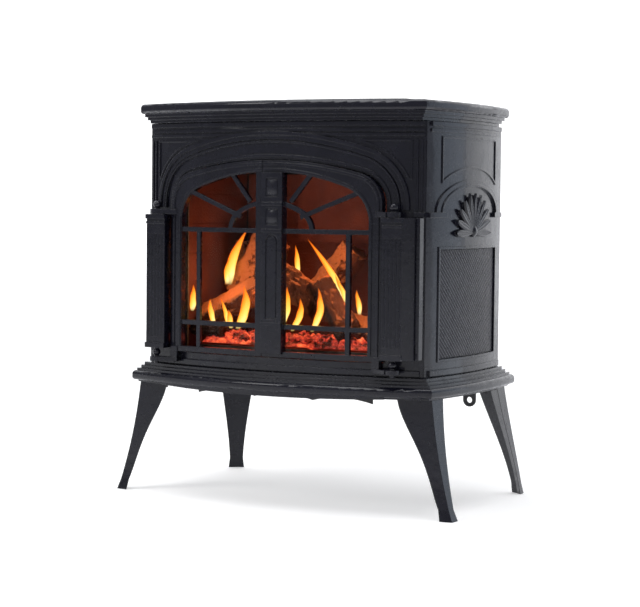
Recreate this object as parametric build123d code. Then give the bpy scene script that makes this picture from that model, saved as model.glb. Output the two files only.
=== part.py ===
from build123d import *
import os
from math import atan2, cos, pi, sin, sqrt

# Freestanding cast iron stove with a bowed front, two arched doors and four splayed legs.
# Millimetres. +Z is up, -Y is the front, X runs across. The origin is on the floor,
# below the middle of the stove's overall box.

# ---------------------------------------------------------------- driving dimensions
# Plan: the front mouldings are concentric arcs, the sides are shallow arcs.
FRONT_AXIS_Y = 623.0          # common centre of the front arcs
BODY_R, BODY_CORNER, BODY_REAR = 800.0, 258.0, 148.0
TOP_R, TOP_CORNER, TOP_REAR = 822.0, 267.0, 158.0
BASE_R, BASE_CORNER, BASE_REAR = 827.0, 282.0, 163.0
SIDE_BULGE = 14.0
WALL = 7.0                    # cast iron wall
JOINT_GAP = 0.4               # caulked seam between castings

# Levels above the floor.
BASE_BOTTOM, BASE_TOP = 187.0, 220.0
BODY_TOP = 622.0
APRON_HALF, APRON_DROP = 208.0, 4.0      # the base's lower edge dips in the middle of the front
TOP_SURFACE, GRILLE_SURFACE = 654.0, 658.5
IMPOST_LOW, IMPOST_HIGH = 471.0, 479.0

# Door opening and doors.
DOOR_AXIS_Y, DOOR_R = 1322.5, 1500.0
DOOR_THICK = 12.0
DOOR_BOTTOM, DOOR_SPRING, DOOR_RISE, DOOR_SHOULDER = 244.0, 491.0, 69.0, 50.0
DOOR_HALF = 197.0
DOOR_GAP = 1.6                # clearance between doors and surround
SEAM_X, SEAM_GAP = -13.0, 1.2
PANE_HALF, PANE_BOTTOM, PANE_SPRING, PANE_RISE, PANE_SHOULDER = 175.0, 253.0, 462.0, 79.0, 58.0
STILE_HALF = 25.6             # the two middle stiles together
MUNTIN = 7.6
UPPER_BAR_Z, LOWER_BAR_Z, SIDE_BAR_X = 446.5, 293.0, 140.0
FAN_HALF, FAN_RISE, FAN_SHOULDER = 76.0, 46.0, 34.0
RAY_ANGLES = (21.7, 51.0)

# Outer arch moulding on the surround.
ARCH_HALF, ARCH_SPRING, ARCH_RISE, ARCH_SHOULDER = 231.0, 490.0, 112.0, 90.0

# Door hinges.
HINGE_X, HINGE_Y = 221.0, -171.0
PIN_R, PIN_FIT = 3.95, 0.05   # running fit in the door ears
BALL_R = 6.8

# Engaged pilasters between the door ears.
PILASTER_HALF, PILASTER_FACE_Y = 18.0, -178.0
FLUTES = 5                    # half-round grooves down each pilaster
FLUTE_STEP = 6.6
FLUTE_R = 2.3
FLUTE_BOTTOM = 268            # the flutes stop short of both hinge pin bores
FLUTE_TOP = 438
PILASTER_BOTTOM, PILASTER_TOP = 248.5, 470.4

# Sealed glass and fire box behind the doors.
GLASS_Y, GLASS_THICK = -128.0, 4.0
BOX_HALF, BOX_FRONT, BOX_REAR, BOX_FLOOR, BOX_ROOF = 213.0, -120.0, 85.0, 228.0, 574.0
SHEET = 2.0

# Flue at the back.
FLUE_Z, FLUE_R, AIR_R, FLUE_WALL = 500.0, 51.0, 84.0, 1.5
FLUE_END, AIR_END = 198.0, 204.0
BACK_SHEET_Y, BACK_HALF = 143.0, 247.0
SHIELD_Y = 161.0

# Side reliefs: a recessed mesh panel under an arched niche and a blank plaque.
SIDE_PANEL_HALF, SIDE_PANEL_LOW, SIDE_PANEL_HIGH = 104.0, 247.0, 421.0
SIDE_MID_Y = 7.0
SIDE_RELIEF_HALF = 131.0      # mouldings stop short of the side's front and rear corners
NICHE_HALF, NICHE_RISE = 100.0, 42.0
ARCHIVOLT_HALF, ARCHIVOLT_RISE = 117.0, 53.0
PLAQUE_HALF, PLAQUE_HIGH, PLAQUE_FRAME = 101.0, 599.0, 2.6
PLAQUE_ARCH_HALF, PLAQUE_ARCH_RISE = 132.0, 71.0
FAN_LEAVES, LEAF_LONG, LEAF_WIDE, LEAF_FOOT_Z, LEAF_STEP = 11, 60.0, 13.0, 446.0, 18.0

# Gas controls behind the back panel.
GAS_KNOB_X, FLAME_KNOB_X, IGNITER_X, CONTROL_Z = 96.0, 148.0, 52.0, 262.0
SPINDLE_SEAT = 126.0
INLET_X, INLET_END, INLET_R, INLET_DEPTH, PIPE_Y = -110.0, 176.0, 5.7, 26.0, 104.0

# Lug with a hole below the right side of the base.
EYE_X, EYE_Z, EYE_R = 266.0, 173.5, 5.0


# ---------------------------------------------------------------- helpers
def front_y(x, radius):
    """Depth of a front arc at x."""
    return FRONT_AXIS_Y - sqrt(radius ** 2 - x ** 2)


def door_y(x, radius=DOOR_R):
    """Depth of the doors' outer face at x."""
    return DOOR_AXIS_Y - sqrt(radius ** 2 - x ** 2)


def plan(radius, corner, rear):
    """Plan outline: bowed front, two shallow side arcs, straight back."""
    corner_y = front_y(corner, radius)
    middle = (corner_y + rear) / 2
    side = corner + SIDE_BULGE
    outline = [
        ThreePointArc((-corner, corner_y), (0, FRONT_AXIS_Y - radius), (corner, corner_y)),
        ThreePointArc((corner, corner_y), (side, middle), (corner, rear)),
        Line((corner, rear), (-corner, rear)),
        ThreePointArc((-corner, rear), (-side, middle), (-corner, corner_y)),
    ]
    return make_face(outline)


def inset(face, distance):
    """The outline moved inwards."""
    return offset(face, amount=-distance, kind=Kind.INTERSECTION)


def slab(face, low, high):
    """A plan outline extruded between two levels."""
    return extrude(Pos(0, 0, low) * face, amount=high - low)


def front_prism(face, front, back):
    """An elevation drawn in X and Z, extruded between two depths."""
    plane = Plane(origin=(0, back, 0), x_dir=(1, 0, 0), z_dir=(0, -1, 0))
    return extrude(plane * face, amount=back - front)


def side_prism(face, inner, outer):
    """An elevation drawn in Y and Z, extruded along X between two places."""
    plane = Plane(origin=(inner, 0, 0), x_dir=(0, 1, 0), z_dir=(1, 0, 0))
    return extrude(plane * face, amount=outer - inner)


def rect(x_low, x_high, z_low, z_high):
    """A rectangle by its edges."""
    middle = ((x_low + x_high) / 2, (z_low + z_high) / 2)
    return Pos(*middle) * Rectangle(x_high - x_low, z_high - z_low)


def block(x_low, x_high, y_low, y_high, z_low, z_high):
    """A box by its faces."""
    middle = ((x_low + x_high) / 2, (y_low + y_high) / 2, (z_low + z_high) / 2)
    return Pos(*middle) * Box(x_high - x_low, y_high - y_low, z_high - z_low)


def basket_arch(half, spring, rise, shoulder, foot):
    """A flat three-centred arch over straight jambs."""
    reach = half - shoulder
    crown_r = (reach ** 2 + rise ** 2 - shoulder ** 2) / (2 * (rise - shoulder))
    crown_z = spring + rise - crown_r
    lean = atan2(spring - crown_z, reach)
    join = (crown_r * cos(lean), crown_z + crown_r * sin(lean))
    swell = (reach + shoulder * cos(lean / 2), spring + shoulder * sin(lean / 2))
    outline = [
        Line((-half, foot), (-half, spring)),
        ThreePointArc((-half, spring), (-swell[0], swell[1]), (-join[0], join[1])),
        ThreePointArc((-join[0], join[1]), (0, spring + rise), join),
        ThreePointArc(join, swell, (half, spring)),
        Line((half, spring), (half, foot)),
        Line((half, foot), (-half, foot)),
    ]
    return make_face(outline)


def arch_around(grow, foot, kind):
    """An arch outline of the doors, panes, surround or fan, moved outwards by grow."""
    half, spring, rise, shoulder = {
        "door": (DOOR_HALF, DOOR_SPRING, DOOR_RISE, DOOR_SHOULDER),
        "pane": (PANE_HALF, PANE_SPRING, PANE_RISE, PANE_SHOULDER),
        "arch": (ARCH_HALF, ARCH_SPRING, ARCH_RISE, ARCH_SHOULDER),
        "fan": (FAN_HALF, UPPER_BAR_Z, FAN_RISE, FAN_SHOULDER),
    }[kind]
    return basket_arch(half + grow, spring, rise + grow, shoulder + grow, foot)


def arc_band(axis_y, outer, inner, half, low, high):
    """An upright curved plate between two radii about an axis behind the stove."""
    def depth(x, radius):
        return axis_y - sqrt(radius ** 2 - x ** 2)

    outline = [
        ThreePointArc((-half, depth(half, outer)), (0, axis_y - outer), (half, depth(half, outer))),
        Line((half, depth(half, outer)), (half, depth(half, inner))),
        ThreePointArc((half, depth(half, inner)), (0, axis_y - inner), (-half, depth(half, inner))),
        Line((-half, depth(half, inner)), (-half, depth(half, outer))),
    ]
    return slab(make_face(outline), low, high)


def front_relief(face, proud, sunk=0.6):
    """An elevation standing proud of the bowed front."""
    skin = arc_band(FRONT_AXIS_Y, BODY_R + proud, BODY_R - sunk, BODY_CORNER + 4, BASE_TOP, BODY_TOP)
    return skin & front_prism(face, -260, -90)


def door_relief(face, proud, sunk=0.6):
    """An elevation standing proud of the doors."""
    skin = arc_band(DOOR_AXIS_Y, DOOR_R + proud, DOOR_R - sunk, DOOR_HALF, DOOR_BOTTOM, BODY_TOP)
    return skin & front_prism(face, -260, -90)


def rod(x, y, low, high, radius):
    """An upright round bar."""
    return Pos(x, y, (low + high) / 2) * Cylinder(radius, high - low)


def rod_y(x, z, front, back, radius):
    """A round bar along Y."""
    return Pos(x, (front + back) / 2, z) * Rot(90, 0, 0) * Cylinder(radius, back - front)


def rod_between(start, end, start_r, end_r):
    """A tapered round bar between two points."""
    start, end = Vector(*start), Vector(*end)
    along = end - start
    plane = Plane(origin=start, z_dir=along)
    return loft([plane * Circle(start_r), plane.offset(along.length) * Circle(end_r)])


def both_sides(shape):
    """The shape and its mirror image across the middle of the stove."""
    return [shape, mirror(shape, about=Plane.YZ)]


def screw_y(x, z, seat, length=8.0, shank=2.0, head=4.2, out=1):
    """A pan head screw along Y, its head outside the seat."""
    near, far = sorted((seat, seat - out * length))
    head_low, head_high = sorted((seat, seat + out * 2.6))
    return rod_y(x, z, near, far, shank) + rod_y(x, z, head_low, head_high, head)


# ---------------------------------------------------------------- outer castings
def make_top_plate():
    """Stepped cornice plate with a rebate for the lift-out grille."""
    full = plan(TOP_R, TOP_CORNER, TOP_REAR)
    nose = slab(full, 637, TOP_SURFACE)
    nose = fillet(nose.edges().group_by(Axis.Z)[-1], 6.5)
    nose = fillet(nose.edges().group_by(Axis.Z)[0], 5.0)
    steps = slab(inset(full, 6), 632, 638) + slab(inset(full, 10), 627, 633)
    steps += slab(inset(full, 14), BODY_TOP, 628)
    hollow = slab(inset(full, 24), BODY_TOP, 643)
    opening = slab(inset(full, 74), 630, 665)
    rebate = slab(inset(full, 66), 649, 665)
    return nose + steps - hollow - opening - rebate


def make_top_grille():
    """Raised lift-out plate with rows of warm air slots."""
    full = plan(TOP_R, TOP_CORNER, TOP_REAR)
    plate = slab(inset(full, 66.6), 649.3, GRILLE_SURFACE)
    plate = fillet(plate.edges().group_by(Axis.Z)[-1], 2.5)
    slots = []
    for row in range(5):
        for column in range(-6, 7):
            place = (column * 25.0, -78 + row * 38.0, 650)
            slots.append(Pos(*place) * extrude(SlotOverall(30, 8, rotation=90), amount=20, both=True))
    return plate - slots


def make_base_plate():
    """Stepped base with a rounded nose, hollow from below, with a boss over each leg."""
    full = plan(BASE_R, BASE_CORNER, BASE_REAR)
    nose = slab(full, 190, 206)
    nose = fillet(nose.edges().group_by(Axis.Z)[-1], 6.5)
    nose = fillet(nose.edges().group_by(Axis.Z)[0], 5.0)
    steps = slab(inset(full, 7), 205, 210) + slab(inset(full, 13), 209, 215)
    steps += slab(inset(full, 18), 214, BASE_TOP)
    skirt = slab(inset(full, 9), BASE_BOTTOM, 192)
    hollow = slab(inset(full, 32), BASE_BOTTOM - 1, 211)
    window = slab(plan(BODY_R - 60, BODY_CORNER - 70, BODY_REAR - 60), 205, 230)
    lip = [
        Line((-APRON_HALF, 194), (APRON_HALF, 194)),
        Line((APRON_HALF, 194), (APRON_HALF, BASE_BOTTOM)),
        ThreePointArc((APRON_HALF, BASE_BOTTOM), (0, BASE_BOTTOM - APRON_DROP), (-APRON_HALF, BASE_BOTTOM)),
        Line((-APRON_HALF, BASE_BOTTOM), (-APRON_HALF, 194)),
    ]
    apron = arc_band(FRONT_AXIS_Y, BASE_R - 3, BASE_R - 17, BASE_CORNER, 170, 200)
    apron &= front_prism(make_face(lip), -260, -90)
    plate = nose + steps + skirt + apron - hollow - window
    for x, y in LEG_BOLTS:
        plate += rod(x, y, BASE_BOTTOM, 213, 12)
        plate -= rod(x, y, BASE_BOTTOM - 1, 207, 4.0)
    return plate


def body_tube():
    """The front and side castings as one ring, cut apart at mitred corners."""
    outer = plan(BODY_R, BODY_CORNER, BODY_REAR)
    ring = slab(outer, BASE_TOP + JOINT_GAP, BODY_TOP - JOINT_GAP) - slab(inset(outer, WALL), 200, 640)
    ring -= block(-BACK_HALF - 0.6, BACK_HALF + 0.6, 100, 160, 200, 640)
    corner_y = front_y(BODY_CORNER, BODY_R)
    mitre = Pos(BODY_CORNER, corner_y, 420) * Rot(0, 0, -40) * Box(60, JOINT_GAP, 460)
    for cut in both_sides(mitre):
        ring -= cut
    pieces = ring.solids().sort_by(Axis.X)
    front = ring.solids().sort_by(Axis.Y)[0]
    return pieces[0], front, pieces[-1]


def make_front_surround(shell):
    """Bowed front casting: door opening, double arch moulding, cornice and framed spandrels."""
    opening = arch_around(DOOR_GAP, DOOR_BOTTOM - DOOR_GAP, "door")
    front = shell - front_prism(opening, -260, -90)
    arch_foot = IMPOST_HIGH + 3
    rings = [
        (arch_around(4, arch_foot, "arch") - arch_around(-2, 400, "arch"), 5.0),
        (arch_around(0, arch_foot, "arch") - arch_around(-9, 400, "arch"), 2.6),
        (arch_around(-11, arch_foot, "arch") - arch_around(-14, 400, "arch"), 3.6),
        (arch_around(9, arch_foot, "door") - arch_around(5, 400, "door"), 2.6),
    ]
    beads = [
        (rect(-256, 256, 614, 621), 3.4),
        (rect(-256, 256, 605, 610), 2.0),
        (rect(-256, 256, 598, 602.5), 3.0),
        (rect(-252, 252, 222, 231), 3.4),
    ]
    for x in (-1, 1):
        spandrel = rect(*sorted((x * 62, x * 238)), 530, 593) - arch_around(9, 400, "arch")
        frame = spandrel - offset(spandrel, amount=-3)
        beads.append((frame, 1.6))
        for line in (244.0, 251.0):
            beads.append((rect(*sorted((x * line, x * (line + 2.6))), IMPOST_HIGH + 2, 593), 1.8))
        ledge = rect(*sorted((x * 241, x * 257.5)), IMPOST_LOW, IMPOST_HIGH)
        beads.append((ledge, 5.0))
    for face, proud in rings + beads:
        front += front_relief(face, proud)
    return front


def side_skin(outside, inside):
    """A thin plate that follows the right side, between two distances from its outer face."""
    outline = plan(BODY_R, BODY_CORNER, BODY_REAR)
    outer = offset(outline, amount=outside, kind=Kind.INTERSECTION) if outside else outline
    inner = offset(outline, amount=inside, kind=Kind.INTERSECTION)
    skin = slab(outer, BASE_TOP + 1, BODY_TOP - 1) - slab(inner, 200, 640)
    reach = SIDE_PANEL_HALF + 40
    return skin & block(200, 320, SIDE_MID_Y - reach, SIDE_MID_Y + reach, 200, 640)


def side_shape(face, proud):
    """An elevation standing proud of the right side's shallow arc."""
    return side_skin(proud, -0.6) & side_prism(face, 200, 320)


def half_ellipse(half, rise):
    """The upper half of an ellipse on the side's impost line."""
    above = rect(SIDE_MID_Y - half - 1, SIDE_MID_Y + half + 1, IMPOST_HIGH, IMPOST_HIGH + rise + 1)
    return Pos(SIDE_MID_Y, IMPOST_HIGH) * Ellipse(half, rise) & above


def plaque_face(grow):
    """The blank plaque's outline over its arched lower edge, moved outwards by grow."""
    half = PLAQUE_HALF + grow
    face = rect(SIDE_MID_Y - half, SIDE_MID_Y + half, IMPOST_HIGH + 20, PLAQUE_HIGH + grow)
    return face - half_ellipse(PLAQUE_ARCH_HALF - grow, PLAQUE_ARCH_RISE - grow)


def fan_leaf(turn):
    """One leaf of the fan in the side's niche, leaning by an angle."""
    leaf = Pos(0, LEAF_LONG / 2 + 5) * Ellipse(LEAF_WIDE / 2, LEAF_LONG / 2 - 4)
    return Pos(SIDE_MID_Y, LEAF_FOOT_Z) * (Rot(0, 0, turn) * leaf)


def make_side_panel(shell):
    """Right side casting: recessed mesh panel, arched niche with a fan of leaves, blank plaque."""
    mid, half, reach = SIDE_MID_Y, SIDE_PANEL_HALF, SIDE_RELIEF_HALF
    panel = rect(mid - half, mid + half, SIDE_PANEL_LOW, SIDE_PANEL_HIGH)
    border = offset(panel, amount=4, kind=Kind.INTERSECTION)
    side = shell - (side_skin(2, -3.2) & side_prism(panel, 200, 320))
    niche = half_ellipse(NICHE_HALF, NICHE_RISE)
    reliefs = [
        (border - panel, 1.8),
        (half_ellipse(ARCHIVOLT_HALF, ARCHIVOLT_RISE) - niche, 2.4),
        (half_ellipse(NICHE_HALF + 4, NICHE_RISE + 4) - niche, 4.0),
        (plaque_face(0) - plaque_face(-PLAQUE_FRAME), 1.8),
        (rect(mid - reach - 6, mid - 90, IMPOST_LOW, IMPOST_HIGH), 5.0),
        (rect(mid + 90, mid + reach, IMPOST_LOW, IMPOST_HIGH), 5.0),
        (rect(mid - reach, mid + reach, 614, 621), 3.4),
        (rect(mid - reach, mid + reach, 605, 610), 2.0),
        (rect(mid - reach, mid + reach, 222, 231), 3.4),
    ]
    for step in range(FAN_LEAVES):
        lean = (step - (FAN_LEAVES - 1) / 2) * LEAF_STEP
        reliefs.append((fan_leaf(lean), 2.2 + 0.6 * (step % 2)))
    for face, proud in reliefs:
        side += side_shape(face, proud)
    return side


def make_side_mesh():
    """Thin curved plate of pierced diamonds in the right side's recess."""
    mid, half = SIDE_MID_Y, SIDE_PANEL_HALF - 1
    outline = rect(mid - half, mid + half, SIDE_PANEL_LOW + 1, SIDE_PANEL_HIGH - 1)
    return side_skin(-1.4, -3.1) & side_prism(outline, 200, 320)


def make_pilaster():
    """Right fluted pilaster standing between the door's ears, bored for both hinge pins."""
    left, right = HINGE_X - PILASTER_HALF, HINGE_X + PILASTER_HALF
    back = front_y(left, BODY_R)
    shaft = block(left, right, PILASTER_FACE_Y + 2, back, PILASTER_BOTTOM, PILASTER_TOP)
    wing = Polyline(
        (right - 2, back),
        (right - 2, PILASTER_FACE_Y + 2.5),
        (right, PILASTER_FACE_Y + 2.5),
        (BODY_CORNER - 1.5, front_y(BODY_CORNER - 1.5, BODY_R) - 0.6),
        (BODY_CORNER - 1.5, back),
        (right - 2, back),
    )
    shaft += slab(make_face([wing]), PILASTER_BOTTOM, PILASTER_TOP)
    shaft -= slab(plan(BODY_R + 0.1, BODY_CORNER, BODY_REAR), 200, 640)
    capital = block(left - 0.9, right + 0.6, PILASTER_FACE_Y - 1.5, back - 4, 463, PILASTER_TOP)
    necking = block(left - 0.5, right + 0.3, PILASTER_FACE_Y, back - 4, 455, 458.5)
    plinth = block(left - 0.9, right + 0.6, PILASTER_FACE_Y - 1.5, back - 4, PILASTER_BOTTOM, 257)
    shaft += capital + necking + plinth
    shaft -= slab(plan(BODY_R + 0.1, BODY_CORNER, BODY_REAR), 200, 640)
    for step in range(FLUTES):
        x = HINGE_X + (step - (FLUTES - 1) / 2) * FLUTE_STEP
        shaft -= rod(x, PILASTER_FACE_Y + 1.0, FLUTE_BOTTOM, FLUTE_TOP, FLUTE_R)
    shaft -= rod(HINGE_X, HINGE_Y, 440, 480, PIN_R + PIN_FIT)
    shaft -= rod(HINGE_X, HINGE_Y, 240, 264, PIN_R + PIN_FIT)
    return shaft


# ---------------------------------------------------------------- doors
def ray(angle):
    """One ray of the fan, from the middle of the upper bar."""
    bar = Pos(130, 0) * Rectangle(140, MUNTIN - 0.6)
    return Pos(0, UPPER_BAR_Z) * (Rot(0, 0, angle) * bar)


def door_leaf():
    """Both doors as one curved plate with arched panes and a muntin grid."""
    rim = arc_band(DOOR_AXIS_Y, DOOR_R, DOOR_R - DOOR_THICK, DOOR_HALF + 6, DOOR_BOTTOM, 600)
    rim &= front_prism(arch_around(0, DOOR_BOTTOM, "door"), -260, -90)
    pane = arch_around(0, PANE_BOTTOM, "pane")
    stile = rect(-STILE_HALF, STILE_HALF, DOOR_BOTTOM, 600)
    rim -= front_prism(pane - stile, -260, -90)
    rim += door_relief(arch_around(-4, DOOR_BOTTOM + 4, "door") - arch_around(-8, DOOR_BOTTOM, "door"), 1.8)
    rim += door_relief(arch_around(6, PANE_BOTTOM, "pane") - arch_around(2, DOOR_BOTTOM, "pane"), 1.4)

    half = MUNTIN / 2
    grid = rect(-180, 180, UPPER_BAR_Z - half, UPPER_BAR_Z + half)
    grid += rect(-180, 180, LOWER_BAR_Z - half, LOWER_BAR_Z + half)
    grid += arch_around(half, UPPER_BAR_Z - half, "fan") - arch_around(-half, UPPER_BAR_Z - MUNTIN, "fan")
    for side in (-1, 1):
        grid += rect(side * SIDE_BAR_X - half, side * SIDE_BAR_X + half, PANE_BOTTOM - 3, UPPER_BAR_Z)
    for angle in RAY_ANGLES:
        grid += ray(angle) + ray(180 - angle)
    grid &= arch_around(3, PANE_BOTTOM - 3, "pane")
    grid -= rect(-STILE_HALF + 2, STILE_HALF - 2, 200, 600)
    bars = arc_band(DOOR_AXIS_Y, DOOR_R - 1.5, DOOR_R - 7.5, DOOR_HALF, DOOR_BOTTOM, 600)
    return rim + (bars & front_prism(grid, -260, -90))


def ear(low, high):
    """Right hinge ear: reaches from the door's edge to the pin."""
    outline = make_face([
        Polyline(
            (DOOR_HALF - 12, door_y(DOOR_HALF - 12) - 1.0),
            (DOOR_HALF - 12, door_y(DOOR_HALF - 12) + 5.0),
            (DOOR_HALF - 1.0, door_y(DOOR_HALF) + 4.0),
            (HINGE_X - 9, HINGE_Y + 9.5),
            (HINGE_X - 9, HINGE_Y - 9.5),
            (DOOR_HALF - 12, door_y(DOOR_HALF - 12) - 1.0),
        )
    ])
    blank = slab(outline, low, high) + rod(HINGE_X, HINGE_Y, low, high, 11.5)
    return blank - rod(HINGE_X, HINGE_Y, low - 1, high + 1, PIN_R + PIN_FIT)


TOP_EAR = (IMPOST_LOW, IMPOST_HIGH)
BOTTOM_EAR = (226.5, 233.5)


def make_doors():
    """Left and right door castings with their hinge ears."""
    leaf = door_leaf()
    edge = SEAM_GAP / 2
    right = leaf & block(SEAM_X + edge, 260, -260, -90, 200, 640)
    left = leaf & block(-260, SEAM_X - edge, -260, -90, 200, 640)
    drop_low, drop_high = BOTTOM_EAR[0], DOOR_BOTTOM + 8
    strap_x = (DOOR_HALF - 14, DOOR_HALF - 1)
    strap_y = (door_y(DOOR_HALF) - 3.5, door_y(DOOR_HALF) + 4)
    strap = block(*strap_x, *strap_y, drop_low, drop_high)
    pin_hole = rod(HINGE_X, HINGE_Y, 200, 500, PIN_R + PIN_FIT)
    hardware = ear(*TOP_EAR) + ear(*BOTTOM_EAR) + strap - pin_hole
    return left + mirror(hardware, about=Plane.YZ), right + hardware


def make_astragal():
    """Middle pilaster on the right door: two short panels, a long arched panel, a plain block."""
    low, high = PANE_BOTTOM - 4, 540.0
    x_low, x_high = SEAM_X + SEAM_GAP / 2, STILE_HALF
    strip = door_relief(rect(x_low, x_high, low, high), 4.0, -0.2)
    centre = (x_low + x_high) / 2
    short_panels = [rect(centre - 11, centre + 11, 501, 531), rect(centre - 11, centre + 11, 456, 483)]
    long_panel = Pos(centre, 430) * Circle(11) + rect(centre - 11, centre + 11, 305, 430)
    for panel in short_panels + [long_panel]:
        pocket = arc_band(DOOR_AXIS_Y, DOOR_R + 6, DOOR_R + 2.4, DOOR_HALF, 200, 600)
        strip -= pocket & front_prism(panel, -260, -90)
        field = offset(panel, amount=-2.6)
        strip += door_relief(field, 3.6, -1.8)
    for z in (490, 447, 297):
        strip += door_relief(rect(x_low, x_high, z - 2.4, z + 2.4), 5.2, -1.8)
    return strip


def hinge_pins():
    """Two pins for each door, each with a ball."""
    top = rod(HINGE_X, HINGE_Y, 448, 481, PIN_R) + Pos(HINGE_X, HINGE_Y, 486.4) * Sphere(BALL_R)
    low = rod(HINGE_X, HINGE_Y, 222, 262, PIN_R) + Pos(HINGE_X, HINGE_Y, 241) * Sphere(BALL_R - 0.2)
    return both_sides(top) + both_sides(low)


# ---------------------------------------------------------------- legs
# Ridge of a front leg and a rear leg at falling levels: (level, x, y, front or rear facet, side facet).
FRONT_LEG = ((186.8, 275, -139, 58, 36), (150, 280, -140, 49, 31), (97, 289.5, -142, 29, 25),
             (50, 301, -144, 21, 19), (18, 310, -146, 17.5, 16), (0, 317, -148, 21, 19))
REAR_LEG = ((186.8, 272, 144, 51, 34), (120, 278, 160, 36, 26), (55, 285, 176, 23, 17),
            (18, 289, 184, 19, 14), (0, 292, 188, 22, 17))
FRONT_FACET_TURN = 6.0        # the front facets lean back a little towards the corners
LEG_BOLTS = ((245, -113), (-245, -113), (246, 116), (-246, 116))


def leg_section(level, x, y, facet, side, turn, toward_back):
    """Arrowhead section: two facets meeting at the outer ridge."""
    across = Vector(-cos(turn), sin(turn) * -toward_back)
    along = Vector(0.06, toward_back)
    ridge = Vector(x, y)
    ends = [ridge + across * facet, ridge + along * side]
    inner = ridge + (across * facet + along * side) * 0.42
    points = [ridge, ends[0], inner, ends[1], ridge]
    return Pos(0, 0, level) * make_face([Polyline(*[(p.X, p.Y) for p in points])])


def make_leg(levels, turn, toward_back):
    """Right-hand leg lofted down its ridge to a flared foot."""
    sections = [leg_section(*level, turn * pi / 180, toward_back) for level in levels]
    return loft(sections[:-1]) + loft(sections[-2:])


def leg_bolt(x, y):
    """Hex head bolt up through the leg's flange into the base boss."""
    head = extrude(Pos(x, y, 175.5) * RegularPolygon(7.5, 6), amount=5)
    return head + rod(x, y, 180, 205, 3.9)


def leg_flange(x, y):
    """Flat ear at a leg's top, drilled for its bolt."""
    plate = block(x - 17, x + 17, y - 15, y + 15, 180.8, 186.8)
    return plate - rod(x, y, 170, 190, 4.3)


# ---------------------------------------------------------------- fire box and glass
def arched_panel(half, low, high, front, back):
    """A plate with a flat arched head."""
    return front_prism(basket_arch(half, high - 70, 70, 52, low), front, back)


def make_firebox():
    """Folded sheet box, open at the front, with a hole for the flue."""
    outer = block(-BOX_HALF, BOX_HALF, BOX_FRONT, BOX_REAR, BOX_FLOOR, BOX_ROOF)
    inner = block(-BOX_HALF + SHEET, BOX_HALF - SHEET, BOX_FRONT - 1, BOX_REAR - SHEET,
                  BOX_FLOOR + SHEET, BOX_ROOF - SHEET)
    return outer - inner - rod_y(0, FLUE_Z, 60, 100, FLUE_R + 0.3)


def make_glass_parts():
    """Ceramic glass, its rope gasket, the steel frame that clamps it and the frame's clips."""
    half, low, high = 206.0, 230.0, 568.0
    back = GLASS_Y + GLASS_THICK
    glass = arched_panel(half - 4, low + 4, high - 4, GLASS_Y, back)
    ring_out = basket_arch(half, high - 70, 70, 52, low)
    ring_in = basket_arch(half - 15, high - 85, 70, 52, low + 9)
    frame = front_prism(ring_out - ring_in, GLASS_Y - 1.8, GLASS_Y - 0.2)
    lip = ring_out - basket_arch(half - 1.6, high - 71.6, 70, 52, low + 1.6)
    frame += front_prism(lip, GLASS_Y - 1.8, back)
    rope_out = basket_arch(half - 5, high - 76, 70, 52, low + 5)
    gasket = front_prism(rope_out - ring_in, back + 0.1, BOX_FRONT - 0.1)
    clips = []
    for x in (-120, 0, 120):
        clip = block(x - 9, x + 9, GLASS_Y - 3.2, GLASS_Y - 1.9, low - 1, low + 8)
        clips.append(clip)
        clips.append(Pos(0, 0, high - low - 8) * clip)
    return glass, frame, gasket, clips


def make_refractory():
    """Moulded insulating panels lining the fire box: back, right, left."""
    low, high = BOX_FLOOR + SHEET + 0.3, 540.0
    back_front = BOX_REAR - SHEET - 16
    back = block(-190, 190, back_front, BOX_REAR - SHEET - 0.4, low, high)
    back -= rod_y(0, FLUE_Z, 40, 100, FLUE_R + 4)
    side = block(202, BOX_HALF - SHEET - 0.4, BOX_FRONT + 6, BOX_REAR - SHEET - 0.4, low, high)
    for course in range(6):
        z = low + 25 + course * 50.0
        back -= block(-191, 191, back_front - 1, back_front + 1.5, z - 1.5, z + 1.5)
        side -= block(201, 203.5, BOX_FRONT, BOX_REAR, z - 1.5, z + 1.5)
    return back, side, mirror(side, about=Plane.YZ)


def make_flue_baffle():
    """Plate standing off the back lining, so that the flames can't go straight up the flue."""
    lining = BOX_REAR - SHEET - 16
    plate = block(-76, 76, lining - 22, lining - 19, 424, 545)
    for x in (-66, 66):
        plate += rod_y(x, 436, lining - 20, lining - 0.1, 4)
    return plate


def make_burner():
    """Shallow tray with its ported tube, the ember bed and the pilot."""
    floor = BOX_FLOOR + SHEET + 0.3
    tray = block(-178, 178, -108, 50, floor, floor + 22)
    tray -= block(-176, 176, -106, 48, floor + 2, floor + 30)
    tube = Pos(0, -20, floor + 12) * Rot(0, 90, 0) * Cylinder(8, 330)
    for step in range(-7, 8):
        tube -= rod(step * 22, -20, floor + 12, floor + 30, 1.4)
    embers = block(-174, 174, -104, 46, floor + 21, floor + 33)
    embers = fillet(embers.edges().group_by(Axis.Z)[-1], 5)
    embers -= block(-200, 200, -30, -10, floor + 20, floor + 22.5)
    pilot = block(150, 168, 52, 64, floor, floor + 26) + rod(155, 58, floor, floor + 44, 2.5)
    pilot += rod(163, 58, floor, floor + 50, 1.6)
    return tray, tube, embers, pilot


# Each log: lower end, upper end, and the radius at each.
LOGS = {
    "left_log": ((-176, -74, 302), (-84, -66, 350), 21, 20),
    "left_upper_log": ((-156, -22, 336), (-98, -18, 424), 20, 22),
    "rear_left_log": ((-172, 26, 320), (-176, 30, 420), 15, 13),
    "front_left_log": ((-186, -98, 281), (-140, -97, 278), 10, 11),
    "middle_log": ((-70, -62, 376), (20, -58, 332), 20, 23),
    "right_log": ((44, -84, 352), (98, -88, 284), 19, 18),
    "rear_right_log": ((-6, 6, 340), (46, 16, 410), 22, 20),
    "front_right_log": ((106, -42, 296), (172, -50, 284), 18, 19),
}


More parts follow.
